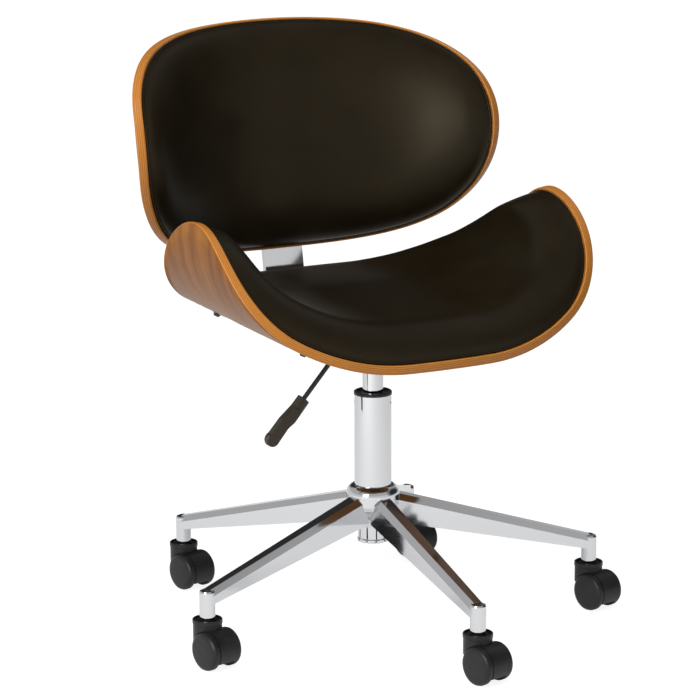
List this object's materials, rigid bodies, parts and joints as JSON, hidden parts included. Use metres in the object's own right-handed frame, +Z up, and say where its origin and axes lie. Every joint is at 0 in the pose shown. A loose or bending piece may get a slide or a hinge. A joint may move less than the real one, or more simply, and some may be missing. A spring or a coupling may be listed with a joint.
{
  "type": "office chair",
  "caption": "Armless swivel office chair: padded bucket seat and curved back of bent plywood on a height-adjustable gas lift and a star base with twin-wheel casters.",
  "frame": {"origin": "on the floor under the column's axis", "axes": "+Z up along the column, -Y to the front of the seat, +X to the sitter's left"},
  "size_m": [0.6196, 0.6511, 0.7796],
  "materials": {
    "chrome": "polished chrome plate on steel",
    "nylon": "moulded, fine satin",
    "black_steel": "black powder coat",
    "bright_steel": "ground and zinc plated",
    "seal_rubber": "moulded",
    "walnut_ply": "satin lacquer over walnut veneer",
    "leatherette": "soft satin leatherette over foam"
  },
  "bodies": {
    "base": {"base_hub": "chrome", "base_leg_1": "chrome", "base_leg_2": "chrome", "base_leg_3": "chrome", "base_leg_4": "chrome", "base_leg_5": "chrome", "caster_stems": "bright_steel", "column_tube": "chrome", "column_collar": "nylon", "guide_bush": "nylon", "thrust_bearing": "bright_steel"},
    "piston": {"piston_rod": "bright_steel", "rod_clip": "bright_steel", "piston_head": "bright_steel"},
    "seat": {"pressure_tube": "bright_steel", "tube_seal": "seal_rubber", "valve_block": "bright_steel", "seat_plate": "black_steel", "mechanism_pan": "black_steel", "cone_socket": "black_steel", "lever_pin": "bright_steel", "back_bracket": "chrome", "seat_shell": "walnut_ply", "seat_pad": "leatherette", "back_shell": "walnut_ply", "back_pad": "leatherette", "seat_pad_screws": "black_steel", "back_pad_screws": "black_steel", "seat_tee_nuts": "bright_steel", "back_tee_nuts": "bright_steel", "plate_bolts": "black_steel", "bracket_bolts": "black_steel", "back_bolts": "black_steel"},
    "lever": {"lever_rod": "black_steel", "lever_handle": "nylon"},
    "release_pin": {"release_pin": "bright_steel"},
    "caster_1": {"caster_yoke_1": "nylon", "caster_axle_1": "bright_steel"},
    "wheel_1_a": {"caster_wheel_1_a": "nylon"},
    "wheel_1_b": {"caster_wheel_1_b": "nylon"},
    "caster_2": {"caster_yoke_2": "nylon", "caster_axle_2": "bright_steel"},
    "wheel_2_a": {"caster_wheel_2_a": "nylon"},
    "wheel_2_b": {"caster_wheel_2_b": "nylon"},
    "caster_3": {"caster_yoke_3": "nylon", "caster_axle_3": "bright_steel"},
    "wheel_3_a": {"caster_wheel_3_a": "nylon"},
    "wheel_3_b": {"caster_wheel_3_b": "nylon"},
    "caster_4": {"caster_yoke_4": "nylon", "caster_axle_4": "bright_steel"},
    "wheel_4_a": {"caster_wheel_4_a": "nylon"},
    "wheel_4_b": {"caster_wheel_4_b": "nylon"},
    "caster_5": {"caster_yoke_5": "nylon", "caster_axle_5": "bright_steel"},
    "wheel_5_a": {"caster_wheel_5_a": "nylon"},
    "wheel_5_b": {"caster_wheel_5_b": "nylon"}
  },
  "joints": [
    {"name": "swivel", "type": "hinge", "parent": "base", "child": "piston", "pos_m": [0, 0, 0.2], "axis": [0, 0, 1], "continuous": true},
    {"name": "lift", "type": "slide", "parent": "piston", "child": "seat", "axis": [0, 0, 1], "range_m": [0, 0.085]},
    {"name": "height_lever", "type": "hinge", "parent": "seat", "child": "lever", "pos_m": [-0.03, 0, 0.376], "axis": [0, 1, 0], "range_deg": [0, 6], "stiffness_Nm_per_rad": 2},
    {"name": "release", "type": "slide", "parent": "seat", "child": "release_pin", "axis": [0, 0, -1], "range_m": [0, 0.0036]},
    {"name": "caster_swivel_1", "type": "hinge", "parent": "base", "child": "caster_1", "pos_m": [0.18955, 0.22994, 0.05], "axis": [0, 0, 1], "continuous": true},
    {"name": "wheel_spin_1_a", "type": "hinge", "parent": "caster_1", "child": "wheel_1_a", "pos_m": [0.19335, 0.21235, 0.025], "axis": [0.9774, 0.2113, 0], "continuous": true},
    {"name": "wheel_spin_1_b", "type": "hinge", "parent": "caster_1", "child": "wheel_1_b", "pos_m": [0.19335, 0.21235, 0.025], "axis": [0.9774, 0.2113, 0], "continuous": true},
    {"name": "caster_swivel_2", "type": "hinge", "parent": "base", "child": "caster_2", "pos_m": [-0.16012, 0.25133, 0.05], "axis": [0, 0, 1], "continuous": true},
    {"name": "wheel_spin_2_a", "type": "hinge", "parent": "caster_2", "child": "wheel_2_a", "pos_m": [-0.15631, 0.23374, 0.025], "axis": [0.9774, 0.2113, 0], "continuous": true},
    {"name": "wheel_spin_2_b", "type": "hinge", "parent": "caster_2", "child": "wheel_2_b", "pos_m": [-0.15631, 0.23374, 0.025], "axis": [0.9774, 0.2113, 0], "continuous": true},
    {"name": "caster_swivel_3", "type": "hinge", "parent": "base", "child": "caster_3", "pos_m": [-0.28851, -0.07461, 0.05], "axis": [0, 0, 1], "continuous": true},
    {"name": "wheel_spin_3_a", "type": "hinge", "parent": "caster_3", "child": "wheel_3_a", "pos_m": [-0.2847, -0.09221, 0.025], "axis": [0.9774, 0.2113, 0], "continuous": true},
    {"name": "wheel_spin_3_b", "type": "hinge", "parent": "caster_3", "child": "wheel_3_b", "pos_m": [-0.2847, -0.09221, 0.025], "axis": [0.9774, 0.2113, 0], "continuous": true},
    {"name": "caster_swivel_4", "type": "hinge", "parent": "base", "child": "caster_4", "pos_m": [-0.01819, -0.29744, 0.05], "axis": [0, 0, 1], "continuous": true},
    {"name": "wheel_spin_4_a", "type": "hinge", "parent": "caster_4", "child": "wheel_4_a", "pos_m": [-0.01439, -0.31504, 0.025], "axis": [0.9774, 0.2113, 0], "continuous": true},
    {"name": "wheel_spin_4_b", "type": "hinge", "parent": "caster_4", "child": "wheel_4_b", "pos_m": [-0.01439, -0.31504, 0.025], "axis": [0.9774, 0.2113, 0], "continuous": true},
    {"name": "caster_swivel_5", "type": "hinge", "parent": "base", "child": "caster_5", "pos_m": [0.27726, -0.10922, 0.05], "axis": [0, 0, 1], "continuous": true},
    {"name": "wheel_spin_5_a", "type": "hinge", "parent": "caster_5", "child": "wheel_5_a", "pos_m": [0.28107, -0.12681, 0.025], "axis": [0.9774, 0.2113, 0], "continuous": true},
    {"name": "wheel_spin_5_b", "type": "hinge", "parent": "caster_5", "child": "wheel_5_b", "pos_m": [0.28107, -0.12681, 0.025], "axis": [0.9774, 0.2113, 0], "continuous": true}
  ],
  "couplings": [
    {"joint": "release", "follows": "height_lever", "m_per_rad": 0.0325}
  ]
}
